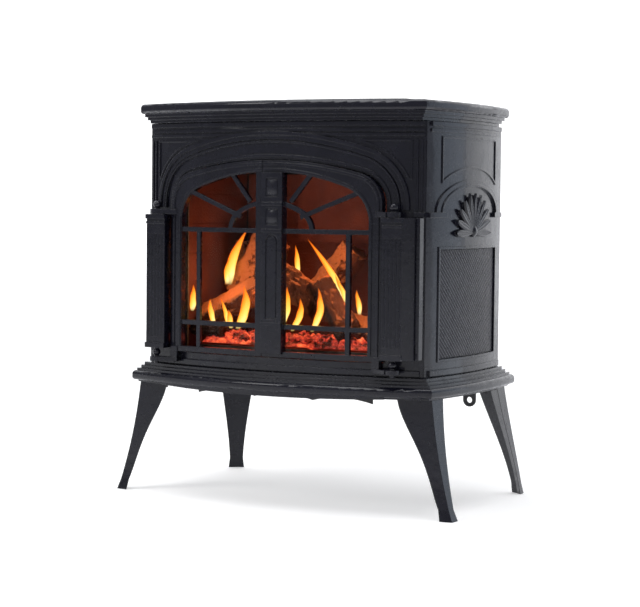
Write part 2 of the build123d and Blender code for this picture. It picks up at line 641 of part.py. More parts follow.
def wavy_flange(length, top, drop, lobes):
    """Upright flange in X and Z with a scalloped lower edge."""
    pitch = length / lobes
    edge = [Line((-length / 2, top - drop), (-length / 2, top)),
            Line((-length / 2, top), (length / 2, top)),
            Line((length / 2, top), (length / 2, top - drop))]
    for lobe in range(lobes):
        right = length / 2 - lobe * pitch
        edge.append(ThreePointArc((right, top - drop), (right - pitch / 2, top - drop * 0.45),
                                  (right - pitch, top - drop)))
    return make_face(edge)


def make_bottom_shield():
    """Pressed sheet under the base with scalloped flanges."""
    plate = slab(plan(BODY_R - 42, BODY_CORNER - 42, BODY_REAR - 30), 184, 186)
    flange = wavy_flange(330, 185, 12, 3)
    front = front_prism(flange, -128, -126)
    side = side_prism(Pos(-6, 0) * wavy_flange(170, 185, 12, 2), 214, 216)
    shield = plate + front
    for wing in both_sides(side):
        shield += wing
    return shield


# ---------------------------------------------------------------- back, flue and controls
BACK_SCREWS = [(x, z) for x in (-232, 232) for z in (250, 350, 450, 590)]
SHIELD_SCREWS = [(x, z) for x in (-150, 150) for z in (330, 590)]


def make_back_panel():
    """Sheet panel between the side castings, with the flue opening and control holes."""
    panel = block(-BACK_HALF, BACK_HALF, BACK_SHEET_Y + 0.4, BACK_SHEET_Y + 0.4 + SHEET, 224, 618)
    panel -= rod_y(0, FLUE_Z, 120, 170, AIR_R + 1)
    for x in (GAS_KNOB_X, FLAME_KNOB_X):
        panel -= rod_y(x, CONTROL_Z, 120, 170, 6)
    panel -= rod_y(IGNITER_X, CONTROL_Z, 120, 170, 8.2)
    panel -= rod_y(INLET_X, CONTROL_Z, 120, 170, 9)
    for x, z in BACK_SCREWS:
        panel -= rod_y(x, z, 120, 170, 2.3)
    for row in range(5):
        for x in (-170, 170):
            vent = Plane(origin=(x, 100, 360 + row * 16), x_dir=(1, 0, 0), z_dir=(0, 1, 0))
            panel -= extrude(vent * SlotOverall(70, 6), amount=80)
    return panel


def make_rear_shield():
    """Stand-off heat shield behind the back panel, clear of the controls and flue."""
    shield = block(-180, 180, SHIELD_Y, SHIELD_Y + 1.6, 300, 612)
    shield += block(-180, 180, SHIELD_Y - 8, SHIELD_Y + 1.6, 610.4, 612)
    shield -= rod_y(0, FLUE_Z, 150, 175, AIR_R + 12)
    for x, z in SHIELD_SCREWS:
        shield -= rod_y(x, z, 150, 175, 2.3)
    return shield


def make_flue():
    """Inner flue collar and the larger air collar around it."""
    inner = rod_y(0, FLUE_Z, BOX_REAR - SHEET - 0.2, FLUE_END, FLUE_R)
    inner -= rod_y(0, FLUE_Z, 70, 220, FLUE_R - FLUE_WALL)
    flange_back = BACK_SHEET_Y + 4.4
    outer = rod_y(0, FLUE_Z, BOX_REAR + 0.3, flange_back, AIR_R - 0.6)
    outer += rod_y(0, FLUE_Z, BACK_SHEET_Y + 2.8, flange_back, AIR_R + 10)
    outer += rod_y(0, FLUE_Z, flange_back, AIR_END, AIR_R)
    outer -= rod_y(0, FLUE_Z, 70, 220, AIR_R - FLUE_WALL)
    return inner, outer


def make_knob(x, radius, depth):
    """Ribbed knob with a pointer rib and the spindle that turns with it."""
    seat = BACK_SHEET_Y + 3.4
    knob = rod_y(x, CONTROL_Z, seat, seat + depth, radius)
    knob = fillet(knob.edges().group_by(Axis.Y)[-1], 2.0)
    ribs = [rod_y(x + radius * cos(a), CONTROL_Z + radius * sin(a), seat - 1, seat + depth + 1, 1.3)
            for a in [2 * pi * step / 16 for step in range(16)]]
    knob -= ribs
    knob += block(x - 2, x + 2, seat, seat + depth + 2, CONTROL_Z, CONTROL_Z + radius - 2)
    return knob + rod_y(x, CONTROL_Z, SPINDLE_SEAT, seat + 1, 3.9)


def make_gas_valve():
    """Valve block on the back of the fire box, bored for both spindles, with its inlet."""
    low, high = CONTROL_Z - 24, CONTROL_Z + 24
    body = block(70, 172, BOX_REAR + 3, SPINDLE_SEAT + 8, low, high)
    body = fillet(body.edges().filter_by(Axis.Y), 5)
    for x in (GAS_KNOB_X, FLAME_KNOB_X):
        body += rod_y(x, CONTROL_Z, SPINDLE_SEAT + 7, SPINDLE_SEAT + 12, 8)
        body -= rod_y(x, CONTROL_Z, SPINDLE_SEAT - 1, 150, 3.95)
    return body


def make_igniter():
    """Piezo igniter barrel fixed in the back panel, and its push button."""
    barrel = rod_y(IGNITER_X, CONTROL_Z, 112, BACK_SHEET_Y + 6, 8)
    barrel += rod_y(IGNITER_X, CONTROL_Z, BACK_SHEET_Y + 2.8, BACK_SHEET_Y + 6, 11)
    barrel -= rod_y(IGNITER_X, CONTROL_Z, 124, 160, 5.55)
    button = rod_y(IGNITER_X, CONTROL_Z, 134, BACK_SHEET_Y + 12, 5.5)
    button = fillet(button.edges().group_by(Axis.Y)[-1], 1.2)
    return barrel, button


def make_gas_pipes():
    """Inlet fitting through the back panel with its pipe to the valve, and the burner's feed."""
    fitting = rod_y(INLET_X, CONTROL_Z, 132, INLET_END, 8.5)
    nut = Plane(origin=(INLET_X, 158, CONTROL_Z), x_dir=(1, 0, 0), z_dir=(0, 1, 0)) * RegularPolygon(13, 6)
    fitting += extrude(nut, amount=8)
    fitting -= rod_y(INLET_X, CONTROL_Z, INLET_END - INLET_DEPTH, 180, INLET_R)
    pipe = rod_between((INLET_X, PIPE_Y, CONTROL_Z), (69, PIPE_Y, CONTROL_Z), 4, 4)
    pipe += rod_y(INLET_X, CONTROL_Z, PIPE_Y, 131.8, 4) + Pos(INLET_X, PIPE_Y, CONTROL_Z) * Sphere(4)
    return fitting, pipe


def make_eye_tab():
    """Lug with a hole, hanging from the bottom shield."""
    lug = rod_y(EYE_X, EYE_Z, 18, 21, 11) + block(EYE_X - 11, EYE_X + 11, 18, 21, EYE_Z, 186.6)
    lug += block(EYE_X - 30, EYE_X + 11, 18, 38, 185.2, 186.9)
    return lug - rod_y(EYE_X, EYE_Z, 10, 30, EYE_R)


# ---------------------------------------------------------------- build and write
def build():
    """Every separate piece by name."""
    nodes = {}
    nodes["top_plate"] = make_top_plate()
    nodes["top_grille"] = make_top_grille()
    nodes["base_plate"] = make_base_plate()
    left_shell, front_shell, right_shell = body_tube()
    nodes["front_surround"] = make_front_surround(front_shell)
    right_side = make_side_panel(right_shell)
    nodes["right_side_panel"] = right_side
    nodes["left_side_panel"] = mirror(right_side, about=Plane.YZ)
    nodes["right_side_mesh"] = make_side_mesh()
    nodes["left_side_mesh"] = mirror(make_side_mesh(), about=Plane.YZ)
    nodes["right_pilaster"], nodes["left_pilaster"] = both_sides(make_pilaster())

    nodes["left_door"], nodes["right_door"] = make_doors()
    nodes["door_astragal"] = make_astragal()
    nodes["hinge_pins"] = hinge_pins()

    bolts = iter(LEG_BOLTS)
    for name, levels, turn, toward_back in (
        ("front", FRONT_LEG, FRONT_FACET_TURN, 1),
        ("rear", REAR_LEG, 0.0, -1),
    ):
        leg = make_leg(levels, turn, toward_back) + leg_flange(*next(bolts))
        next(bolts)
        nodes[name + "_right_leg"] = leg
        nodes[name + "_left_leg"] = mirror(leg, about=Plane.YZ)
    nodes["leg_bolts"] = [leg_bolt(x, y) for x, y in LEG_BOLTS]

    glass_names = ("window_glass", "glass_frame", "glass_gasket", "glass_clips")
    nodes.update(zip(glass_names, make_glass_parts()))
    nodes["firebox_shell"] = make_firebox()
    nodes.update(zip(("refractory_back", "refractory_right", "refractory_left"), make_refractory()))
    nodes["flue_baffle"] = make_flue_baffle()
    nodes["baffle_plate"] = block(-190, 190, -60, 62, 548, 551)
    nodes.update(zip(("burner_tray", "burner_tube", "ember_bed", "pilot_assembly"), make_burner()))
    for name, log in LOGS.items():
        nodes[name] = rod_between(*log)

    nodes["back_panel"] = make_back_panel()
    nodes["back_screws"] = [screw_y(x, z, BACK_SHEET_Y + 0.4 + SHEET) for x, z in BACK_SCREWS]
    nodes["rear_heat_shield"] = make_rear_shield()
    nodes["shield_spacers"] = [
        rod_y(x, z, BACK_SHEET_Y + 0.4 + SHEET, SHIELD_Y, 5) + screw_y(x, z, SHIELD_Y + 1.6)
        for x, z in SHIELD_SCREWS
    ]
    nodes["flue_collar"], nodes["air_collar"] = make_flue()
    nodes["gas_valve"] = make_gas_valve()
    nodes["gas_knob"] = make_knob(GAS_KNOB_X, 17.0, 16.0)
    nodes["flame_knob"] = make_knob(FLAME_KNOB_X, 13.0, 14.0)
    nodes["igniter_barrel"], nodes["igniter_button"] = make_igniter()
    nodes["gas_inlet"], nodes["supply_pipe"] = make_gas_pipes()
    nodes["bottom_heat_shield"] = make_bottom_shield()
    nodes["eye_tab"] = make_eye_tab()
    return nodes


if __name__ == "__main__":
    os.makedirs("parts", exist_ok=True)
    for name, shape in build().items():
        solids = shape if isinstance(shape, list) else [shape]
        export_step(Compound(children=[solid for item in solids for solid in item.solids()]),
                    f"parts/{name}.step")
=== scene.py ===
import random
from math import cos, pi, radians, sin, sqrt

import bpy
from mathutils import Matrix, Vector, noise


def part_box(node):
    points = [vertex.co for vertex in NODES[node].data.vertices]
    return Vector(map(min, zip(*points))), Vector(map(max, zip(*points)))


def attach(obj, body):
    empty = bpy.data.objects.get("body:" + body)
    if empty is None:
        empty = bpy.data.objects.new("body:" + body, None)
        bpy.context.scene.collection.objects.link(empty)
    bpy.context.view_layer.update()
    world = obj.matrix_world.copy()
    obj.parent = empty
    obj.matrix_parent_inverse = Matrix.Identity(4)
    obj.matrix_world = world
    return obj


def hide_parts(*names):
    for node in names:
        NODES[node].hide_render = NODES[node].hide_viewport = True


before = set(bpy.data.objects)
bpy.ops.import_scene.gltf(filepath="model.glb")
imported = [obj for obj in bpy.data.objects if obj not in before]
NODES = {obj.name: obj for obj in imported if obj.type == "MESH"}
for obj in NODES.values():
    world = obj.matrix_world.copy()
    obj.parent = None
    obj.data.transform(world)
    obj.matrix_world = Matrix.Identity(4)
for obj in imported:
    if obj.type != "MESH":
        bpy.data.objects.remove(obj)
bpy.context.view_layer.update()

# Looks of a freestanding cast iron stove: glossy black enamel castings, a lit fire of
# moulded logs behind the glass, pierced side panels and a plain pale studio.
# Metres. +Z is up, -Y is the front.

# ---------------------------------------------------------------- camera
CAMERA_AT = Vector((1.5586, -2.7654, 0.4990))
CAMERA_YAW, CAMERA_PITCH, CAMERA_ROLL = radians(29.49), radians(3.19), radians(0.59)
CAMERA_LENS, SENSOR_WIDE = 105.9, 36.0

# ---------------------------------------------------------------- sizes that match the castings
# The side's shallow arc in plan, and the fan of leaves in its niche.
SIDE_MID_Y, SIDE_HALF_Y, SIDE_CORNER_X, SIDE_BULGE = 0.007, 0.141, 0.258, 0.014
LEAF_FOOT_Z, LEAF_LONG, LEAF_WIDE, LEAVES, LEAF_STEP = 0.446, 0.060, 0.013, 11, radians(18.0)
LEAF_INSET, LEAF_PROUD, LEAF_DOME, LEAF_VEIN, LEAF_CURL = 0.004, 0.0018, 0.0042, 0.0016, 0.0022
BOSS_R, BOSS_PROUD, BOSS_DOME, BOSS_UP = 0.010, 0.001, 0.007, 0.003

# The woven lattice in the side's lower recess.
LATTICE_PITCH, LATTICE_HALF_BAR, LATTICE_DEPTH = 0.0078, 0.0011, 0.0006
LATTICE_RECESS, LATTICE_OVER = 0.0021, 0.0004

# The doors' arc in plan, and the raised fields in the middle pilaster's short panels.
DOOR_AXIS_Y, DOOR_R, PANEL_PROUD = 1.3225, 1.5, 0.0034
PILLOW_MID_X, PILLOW_HALF, PILLOW_RISE = 0.0065, 0.0102, 0.0016
PILLOW_LEVELS = ((0.504, 0.528), (0.459, 0.480))

# ---------------------------------------------------------------- the fire
SPLIT_HALF_ANGLE, SPLIT_DEPTH = 1.1, 0.60
EMBER_CHUNKS, CHUNK_SIZES = 150, (0.005, 0.012)
FLAME_THICKNESS, FLAME_RIPPLE, FLAME_SWAY = 0.45, 0.22, 0.0022
FIRE_POWER, FIRE_COLOUR = 0.25, (1.0, 0.38, 0.15)
FIRE_LIGHTS = (
    (-0.140, -0.104, 0.372), (-0.060, -0.110, 0.318), (0.040, -0.100, 0.400),
    (0.110, -0.100, 0.345), (-0.010, -0.085, 0.440),
)

# ---------------------------------------------------------------- the studio
WORLD_COLOUR, WORLD_STRENGTH = (0.93, 0.94, 1.0, 1.0), 0.34
FLOOR_GLOW, BACKDROP_GLOW = 0.34, 0.85

# ---------------------------------------------------------------- which nodes share a finish

IRON_NODES = (
    "top_plate", "top_grille", "base_plate", "front_surround", "right_side_panel", "left_side_panel",
    "right_pilaster", "left_pilaster", "left_door", "right_door", "door_astragal", "hinge_pins",
    "front_right_leg", "front_left_leg", "rear_right_leg", "rear_left_leg",
)
SHEET_NODES = (
    "back_panel", "rear_heat_shield", "bottom_heat_shield", "glass_frame", "eye_tab", "shield_spacers",
    "firebox_shell", "baffle_plate",
)
STEEL_NODES = ("flue_collar", "air_collar", "burner_tube", "burner_tray")
BRASS_NODES = ("gas_valve", "gas_inlet", "supply_pipe", "pilot_assembly")
PLASTIC_NODES = ("gas_knob", "flame_knob", "igniter_button", "igniter_barrel")
SCREW_NODES = ("leg_bolts", "back_screws", "glass_clips")
REFRACTORY_NODES = ("refractory_back", "refractory_right", "refractory_left", "flue_baffle")


# ---------------------------------------------------------------- material helpers
def new_material(name):
    """A material with its node tree and its Principled shader."""
    material = bpy.data.materials.new(name)
    material.use_nodes = True
    return material, material.node_tree, material.node_tree.nodes["Principled BSDF"]


def bare_material(name):
    """A material with an empty node tree, for a mix of simple shaders."""
    material = bpy.data.materials.new(name)
    material.use_nodes = True
    material.node_tree.nodes.clear()
    return material, material.node_tree


def mix_shaders(tree, share, first, second):
    """The surface as a share of the second shader over the first."""
    mix = tree.nodes.new("ShaderNodeMixShader")
    tree.links.new(share, mix.inputs["Fac"])
    tree.links.new(first, mix.inputs[1])
    tree.links.new(second, mix.inputs[2])
    output = tree.nodes.new("ShaderNodeOutputMaterial")
    tree.links.new(mix.outputs["Shader"], output.inputs["Surface"])


def combine(tree, operation, first, second):
    """Two sources put together by one sum or comparison."""
    node = tree.nodes.new("ShaderNodeMath")
    node.operation = operation
    tree.links.new(first, node.inputs[0])
    tree.links.new(second, node.inputs[1])
    return node.outputs["Value"]


def grain(tree, scale, detail=4.0, roughness=0.55, stretch=(1.0, 1.0, 1.0)):
    """Noise in the object's own coordinates."""
    place = tree.nodes.new("ShaderNodeTexCoord")
    mapping = tree.nodes.new("ShaderNodeMapping")
    mapping.inputs["Scale"].default_value = stretch
    texture = tree.nodes.new("ShaderNodeTexNoise")
    texture.inputs["Scale"].default_value = scale
    texture.inputs["Detail"].default_value = detail
    texture.inputs["Roughness"].default_value = roughness
    tree.links.new(place.outputs["Object"], mapping.inputs["Vector"])
    tree.links.new(mapping.outputs["Vector"], texture.inputs["Vector"])
    return texture.outputs["Fac"]


def ramp(tree, source, stops):
    """A colour ramp over a source; stops are (place, colour)."""
    node = tree.nodes.new("ShaderNodeValToRGB")
    elements = node.color_ramp.elements
    while len(elements) < len(stops):
        elements.new(0.5)
    for element, (place, colour) in zip(elements, stops):
        element.position = place
        element.color = (*colour, 1.0)
    tree.links.new(source, node.inputs["Fac"])
    return node.outputs["Color"]


def spread(tree, source, low, high, out_low, out_high):
    """A source's range mapped to another."""
    node = tree.nodes.new("ShaderNodeMapRange")
    node.inputs["From Min"].default_value = low
    node.inputs["From Max"].default_value = high
    node.inputs["To Min"].default_value = out_low
    node.inputs["To Max"].default_value = out_high
    tree.links.new(source, node.inputs["Value"])
    return node.outputs["Result"]


def rounded_edges(tree, radius):
    """A normal that rounds sharp edges off."""
    node = tree.nodes.new("ShaderNodeBevel")
    node.samples = 4
    node.inputs["Radius"].default_value = radius
    return node.outputs["Normal"]


def bump(tree, shader, height, depth, normal=None):
    """Bumps from a height on a shader, over an earlier normal if one is given."""
    node = tree.nodes.new("ShaderNodeBump")
    node.inputs["Distance"].default_value = depth
    tree.links.new(height, node.inputs["Height"])
    if normal is not None:
        tree.links.new(normal, node.inputs["Normal"])
    tree.links.new(node.outputs["Normal"], shader.inputs["Normal"])
    return node.outputs["Normal"]


def plain_surface(name, dark, light, rough, metallic=0.0, scale=60.0, depth=0.0002):
    """A material with mottled colour, uneven gloss and a fine surface."""
    material, tree, shader = new_material(name)
    mottle = grain(tree, scale)
    tree.links.new(ramp(tree, mottle, [(0.3, dark), (0.7, light)]), shader.inputs["Base Color"])
    tree.links.new(spread(tree, mottle, 0.3, 0.7, *rough), shader.inputs["Roughness"])
    shader.inputs["Metallic"].default_value = metallic
    bump(tree, shader, grain(tree, scale * 12), depth, normal=rounded_edges(tree, 0.0006))
    return material


# ---------------------------------------------------------------- materials
def enamel_material():
    """Glossy near-black enamel over slightly pebbled cast iron."""
    material, tree, shader = new_material("enamelled_iron")
    clouds = grain(tree, 11.0, 3.0)
    tint = ramp(tree, clouds, [(0.3, (0.0040, 0.0040, 0.0080)), (0.7, (0.0070, 0.0070, 0.0132))])
    tree.links.new(tint, shader.inputs["Base Color"])
    tree.links.new(spread(tree, grain(tree, 45.0), 0.3, 0.7, 0.20, 0.32), shader.inputs["Roughness"])
    shader.inputs["Specular IOR Level"].default_value = 0.24
    shader.inputs["Coat Weight"].default_value = 0.30
    shader.inputs["Coat Roughness"].default_value = 0.05
    shader.inputs["Coat Tint"].default_value = (0.86, 0.90, 1.0, 1.0)
    waves = bump(tree, shader, grain(tree, 70.0, 1.0), 0.00012, normal=rounded_edges(tree, 0.0014))
    peel = bump(tree, shader, grain(tree, 300.0, 1.0), 0.00003, normal=waves)
    tree.links.new(peel, shader.inputs["Coat Normal"])
    return material


def glass_material():
    """Clear ceramic glass that lets the fire's light straight through."""
    material, tree = bare_material("ceramic_glass")
    clear = tree.nodes.new("ShaderNodeBsdfTransparent")
    clear.inputs["Color"].default_value = (0.97, 0.955, 0.93, 1.0)
    gloss = tree.nodes.new("ShaderNodeBsdfGlossy")
    tree.links.new(spread(tree, grain(tree, 9.0), 0.3, 0.7, 0.02, 0.07), gloss.inputs["Roughness"])
    edge = tree.nodes.new("ShaderNodeFresnel")
    edge.inputs["IOR"].default_value = 1.15
    mix_shaders(tree, edge.outputs["Fac"], clear.outputs["BSDF"], gloss.outputs["BSDF"])
    return material


def log_material(name, char, bark, pale, cut, lit_from):
    """Moulded ceramic log: charred bark, and pale split-wood colour on faces that turn up beyond lit_from,
    which is partly the wood's own colour and partly a painted top light.
    """
    material, tree, shader = new_material(name)
    fibres = grain(tree, 95.0, 9.0, 0.75, stretch=(1.0, 1.0, 0.35))
    specks = grain(tree, 520.0, 3.0, 0.7)
    body = ramp(tree, fibres, [(0.36, char), (0.54, bark), (0.66, char)])
    # Pale and cut wood colours, which the mix below lays on upward faces: partly wood colour, partly a
    # painted top light.
    wood_and_painted_top_light = ramp(tree, specks, [(0.34, cut), (0.52, pale), (0.70, cut)])
    facing = tree.nodes.new("ShaderNodeNewGeometry")
    split = tree.nodes.new("ShaderNodeSeparateXYZ")
    tree.links.new(facing.outputs["Normal"], split.inputs["Vector"])
    patches = spread(tree, grain(tree, 70.0, 5.0), 0.3, 0.7, -0.45, 0.45)
    shade = combine(tree, "ADD", split.outputs["Z"], patches)
    mix = tree.nodes.new("ShaderNodeMix")
    mix.data_type = "RGBA"
    tree.links.new(spread(tree, shade, lit_from, lit_from + 0.3, 0.0, 1.0), mix.inputs["Factor"])
    tree.links.new(body, mix.inputs["A"])
    tree.links.new(wood_and_painted_top_light, mix.inputs["B"])
    tree.links.new(mix.outputs["Result"], shader.inputs["Base Color"])
    shader.inputs["Roughness"].default_value = 0.93
    shader.inputs["Specular IOR Level"].default_value = 0.15
    rough = bump(tree, shader, fibres, 0.006)
    bump(tree, shader, specks, 0.0012, normal=rough)
    return material


def ember_material():
    """Glowing ember bed: dark crust over red and orange cracks."""
    material, tree, shader = new_material("glowing_embers")
    heat = grain(tree, 48.0, 6.0, 0.6)
    crust = ramp(tree, heat, [(0.35, (0.05, 0.012, 0.008)), (0.65, (0.30, 0.10, 0.06))])
    glow = ramp(tree, heat, [
        (0.42, (0.010, 0.001, 0.0005)),
        (0.52, (0.42, 0.028, 0.018)),
        (0.62, (0.95, 0.12, 0.040)),
        (0.76, (1.0, 0.46, 0.16)),
    ])
    tree.links.new(crust, shader.inputs["Base Color"])
    tree.links.new(glow, shader.inputs["Emission Color"])
    shader.inputs["Emission Strength"].default_value = 1.1
    shader.inputs["Roughness"].default_value = 0.9
    bump(tree, shader, heat, 0.004)
    return material


def flame_material():
    """A thin bright tongue: pale yellow core, orange edges, and ends that fade away."""
    material, tree = bare_material("flame")
    rise = tree.nodes.new("ShaderNodeAttribute")
    rise.attribute_name = "rise"
    edge = tree.nodes.new("ShaderNodeLayerWeight")
    edge.inputs["Blend"].default_value = 0.5
    upward = spread(tree, rise.outputs["Fac"], 0.10, 1.0, 0.0, 0.85)
    outward = spread(tree, edge.outputs["Facing"], 0.05, 0.80, 0.0, 0.85)
    colour = ramp(tree, combine(tree, "ADD", upward, outward), [
        (0.0, (1.0, 0.86, 0.42)),
        (0.30, (1.0, 0.66, 0.12)),
        (0.62, (1.0, 0.36, 0.025)),
        (1.0, (0.80, 0.10, 0.005)),
    ])
    glow = tree.nodes.new("ShaderNodeEmission")
    glow.inputs["Strength"].default_value = 1.5
    tree.links.new(colour, glow.inputs["Color"])
    clear = tree.nodes.new("ShaderNodeBsdfTransparent")
    fade = spread(tree, edge.outputs["Facing"], 0.55, 1.0, 0.0, 1.0)
    tip = spread(tree, rise.outputs["Fac"], 0.70, 1.0, 0.0, 0.75)
    foot = spread(tree, rise.outputs["Fac"], 0.02, 0.22, 1.0, 0.0)
    gone = combine(tree, "MAXIMUM", fade, combine(tree, "MAXIMUM", foot, tip))
    mix_shaders(tree, gone, glow.outputs["Emission"], clear.outputs["BSDF"])
    return material


# ---------------------------------------------------------------- mesh helpers
def new_piece(name, points, faces, material, body="root", smooth=True):
    """A mesh that rides on a body."""
    mesh = bpy.data.meshes.new(name)
    mesh.from_pydata([tuple(point) for point in points], [], faces)
    mesh.update()
    mesh.polygons.foreach_set("use_smooth", [smooth] * len(mesh.polygons))
    piece = bpy.data.objects.new(name, mesh)
    bpy.context.scene.collection.objects.link(piece)
    piece.data.materials.append(material)
    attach(piece, body)
    return piece


def tube_faces(rings, around):
    """Faces of a tube of rings, closed with a fan at each end; the two end points come last."""
    faces = []
    for ring in range(rings - 1):
        for step in range(around):
            after = (step + 1) % around
            faces.append((ring * around + step, ring * around + after,
                          (ring + 1) * around + after, (ring + 1) * around + step))
    first_end, last_end = rings * around, rings * around + 1
    last = (rings - 1) * around
    for step in range(around):
        after = (step + 1) % around
        faces.append((first_end, after, step))
        faces.append((last_end, last + step, last + after))
    return faces


def grid_faces(first, rows, columns):
    """Faces of a sheet of rows and columns whose points start at first."""
    faces = []
    for row in range(rows - 1):
        for column in range(columns - 1):
            here = first + row * columns + column
            faces.append((here, here + 1, here + columns + 1, here + columns))
    return faces


def side_x(y):
    """How far out the side's shallow arc is at y."""
    return SIDE_CORNER_X + SIDE_BULGE * (1 - ((y - SIDE_MID_Y) / SIDE_HALF_Y) ** 2)


# ---------------------------------------------------------------- fire
def make_log(node, start, end, radii, split_turn, seed, material):
    """A knobbly moulded log with a split face and broken ends, in place of its CAD bar."""
    start, end = Vector(start), Vector(end)
    along = (end - start).normalized()
    across = along.cross(Vector((0, 0, 1))).normalized()
    over = across.cross(along)
    rings, around = 44, 72
    points = []
    for ring in range(rings):
        t = ring / (rings - 1)
        centre = start.lerp(end, t)
        radius = radii[0] + (radii[1] - radii[0]) * t
        for step in range(around):
            angle = 2 * pi * step / around
            spot = Vector((cos(angle) * 1.6, sin(angle) * 1.6, t * 4.0 + seed))
            lumps = 0.16 * noise.noise(spot) + 0.09 * noise.noise(spot * 3.1)
            lumps += 0.05 * noise.noise(spot * 8.0)
            grooves = 0.05 * abs(noise.noise(Vector((angle * 4.0, seed, t * 1.5))))
            reach = radius * (0.95 + lumps - grooves)
            turn = (angle - split_turn + pi) % (2 * pi) - pi
            if abs(turn) < SPLIT_HALF_ANGLE:
                flat = radius * (SPLIT_DEPTH + 0.05 * noise.noise(spot * 5.0)) / cos(turn)
                reach = min(reach, flat)
            ragged = radius * 0.25 * noise.noise(spot * 2.3) * (abs(2 * t - 1) ** 6)
            points.append(centre + (across * cos(angle) + over * sin(angle)) * reach + along * ragged)
    points += [start + along * radii[0] * 0.08, end - along * radii[1] * 0.08]
    piece = new_piece(node + "_bark", points, tube_faces(rings, around), material)
    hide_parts(node)


# Each log: lower end, upper end, radii, where its split face points, seed, and its finish, which sets how
# charred it is and how far down the pale colour and painted top light reach.
LOGS = {
    "left_log": ((-0.190, -0.072, 0.296), (-0.074, -0.064, 0.354), (0.026, 0.026), 1.0, 2.0, "split"),
    "left_upper_log": ((-0.158, -0.020, 0.330), (-0.088, -0.016, 0.432), (0.030, 0.036), 0.3, 5.0, "split"),
    "rear_left_log": ((-0.172, 0.026, 0.318), (-0.172, 0.030, 0.424), (0.020, 0.018), 0.4, 9.0, "split"),
    "front_left_log": (
        (-0.194, -0.096, 0.282), (-0.138, -0.095, 0.279), (0.016, 0.015), 1.5, 13.0, "charred",
    ),
    "middle_log": ((-0.080, -0.060, 0.384), (0.026, -0.058, 0.328), (0.027, 0.029), 2.4, 17.0, "charred"),
    "right_log": ((0.038, -0.086, 0.362), (0.100, -0.088, 0.280), (0.023, 0.023), 0.9, 21.0, "charred"),
    "rear_right_log": ((-0.012, 0.006, 0.332), (0.052, 0.016, 0.414), (0.030, 0.026), 2.0, 25.0, "split"),
    "front_right_log": ((0.082, -0.054, 0.292), (0.172, -0.062, 0.282), (0.024, 0.024), 1.2, 29.0, "split"),
}


def make_ember_bed(material):
    """Lumpy glowing bed over the tray, with loose chunks on it."""
    low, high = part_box("ember_bed")
    columns, rows = 150, 64
    points = []
    for row in range(rows):
        for column in range(columns):
            x = low.x + (high.x - low.x) * column / (columns - 1)
            y = low.y + (high.y - low.y) * row / (rows - 1)
            spot = Vector((x * 30, y * 30, 3.0))
            rim = min(column, columns - 1 - column, row, rows - 1 - row)
            lumps = 0.010 * noise.noise(spot) + 0.007 * abs(noise.noise(spot * 2.7))
            lumps += 0.003 * noise.noise(spot * 7)
            height = high.z - 0.004 + lumps * 1.3 if rim else low.z + 0.004
            points.append((x, y, height))
    faces = grid_faces(0, rows, columns)
    chance = random.Random(7)
    for _ in range(EMBER_CHUNKS):
        centre = Vector((chance.uniform(low.x + 0.02, high.x - 0.02),
                         chance.uniform(low.y + 0.012, low.y + 0.07), high.z + chance.uniform(0.0, 0.006)))
        add_chunk(points, faces, centre, chance.uniform(*CHUNK_SIZES), chance)
    piece = new_piece("ember_bed_glow", points, faces, material)
    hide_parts("ember_bed")


def add_chunk(points, faces, centre, size, chance):
    """One irregular lump of charcoal added to a mesh."""
    rings, around, first = 5, 7, len(points)
    shift = chance.uniform(0, 50)
    for ring in range(rings):
        tilt = pi * (ring + 0.5) / rings
        for step in range(around):
            angle = 2 * pi * step / around
            way = Vector((sin(tilt) * cos(angle), sin(tilt) * sin(angle), cos(tilt) * 0.7))
            points.append(centre + way * size * (0.8 + 0.7 * noise.noise(way * 1.9 + Vector((shift, 0, 0)))))
    points.append(centre + Vector((0, 0, size * 0.6)))
    points.append(centre - Vector((0, 0, size * 0.6)))
    faces += [tuple(first + corner for corner in face) for face in tube_faces(rings, around)]


def make_flame(name, base, tip, width, bow, material):
    """A flat curved tongue of flame from base to tip, with a rippled edge."""
    base, tip = Vector(base), Vector(tip)
    rings, around = 40, 28
    points, rise = [], []
    for ring in range(rings):
        t = ring / (rings - 1)
        sway = bow * sin(pi * t * 0.9) + FLAME_SWAY * noise.noise(Vector((base.x * 60, t * 3.5, 1.0))) * t
        centre = base.lerp(tip, t) + Vector((sway, 0, 0))
        half = width * (0.10 + 1.75 * t ** 0.75) * (1 - t) ** 1.05 + 0.0002
        for step in range(around):
            angle = 2 * pi * step / around
            spot = Vector((cos(angle) * 1.2 + base.x * 40, sin(angle), t * 4.0))
            ripple = 1 + FLAME_RIPPLE * noise.noise(spot)
            wide, thick = half * ripple, half * FLAME_THICKNESS
            points.append(centre + Vector((cos(angle) * wide, sin(angle) * thick, 0)))
            rise.append(t)
    points += [base, tip]
    rise += [0.0, 1.0]
    piece = new_piece(name, points, tube_faces(rings, around), material)
    attribute = piece.data.attributes.new("rise", "FLOAT", "POINT")
    attribute.data.foreach_set("value", rise)


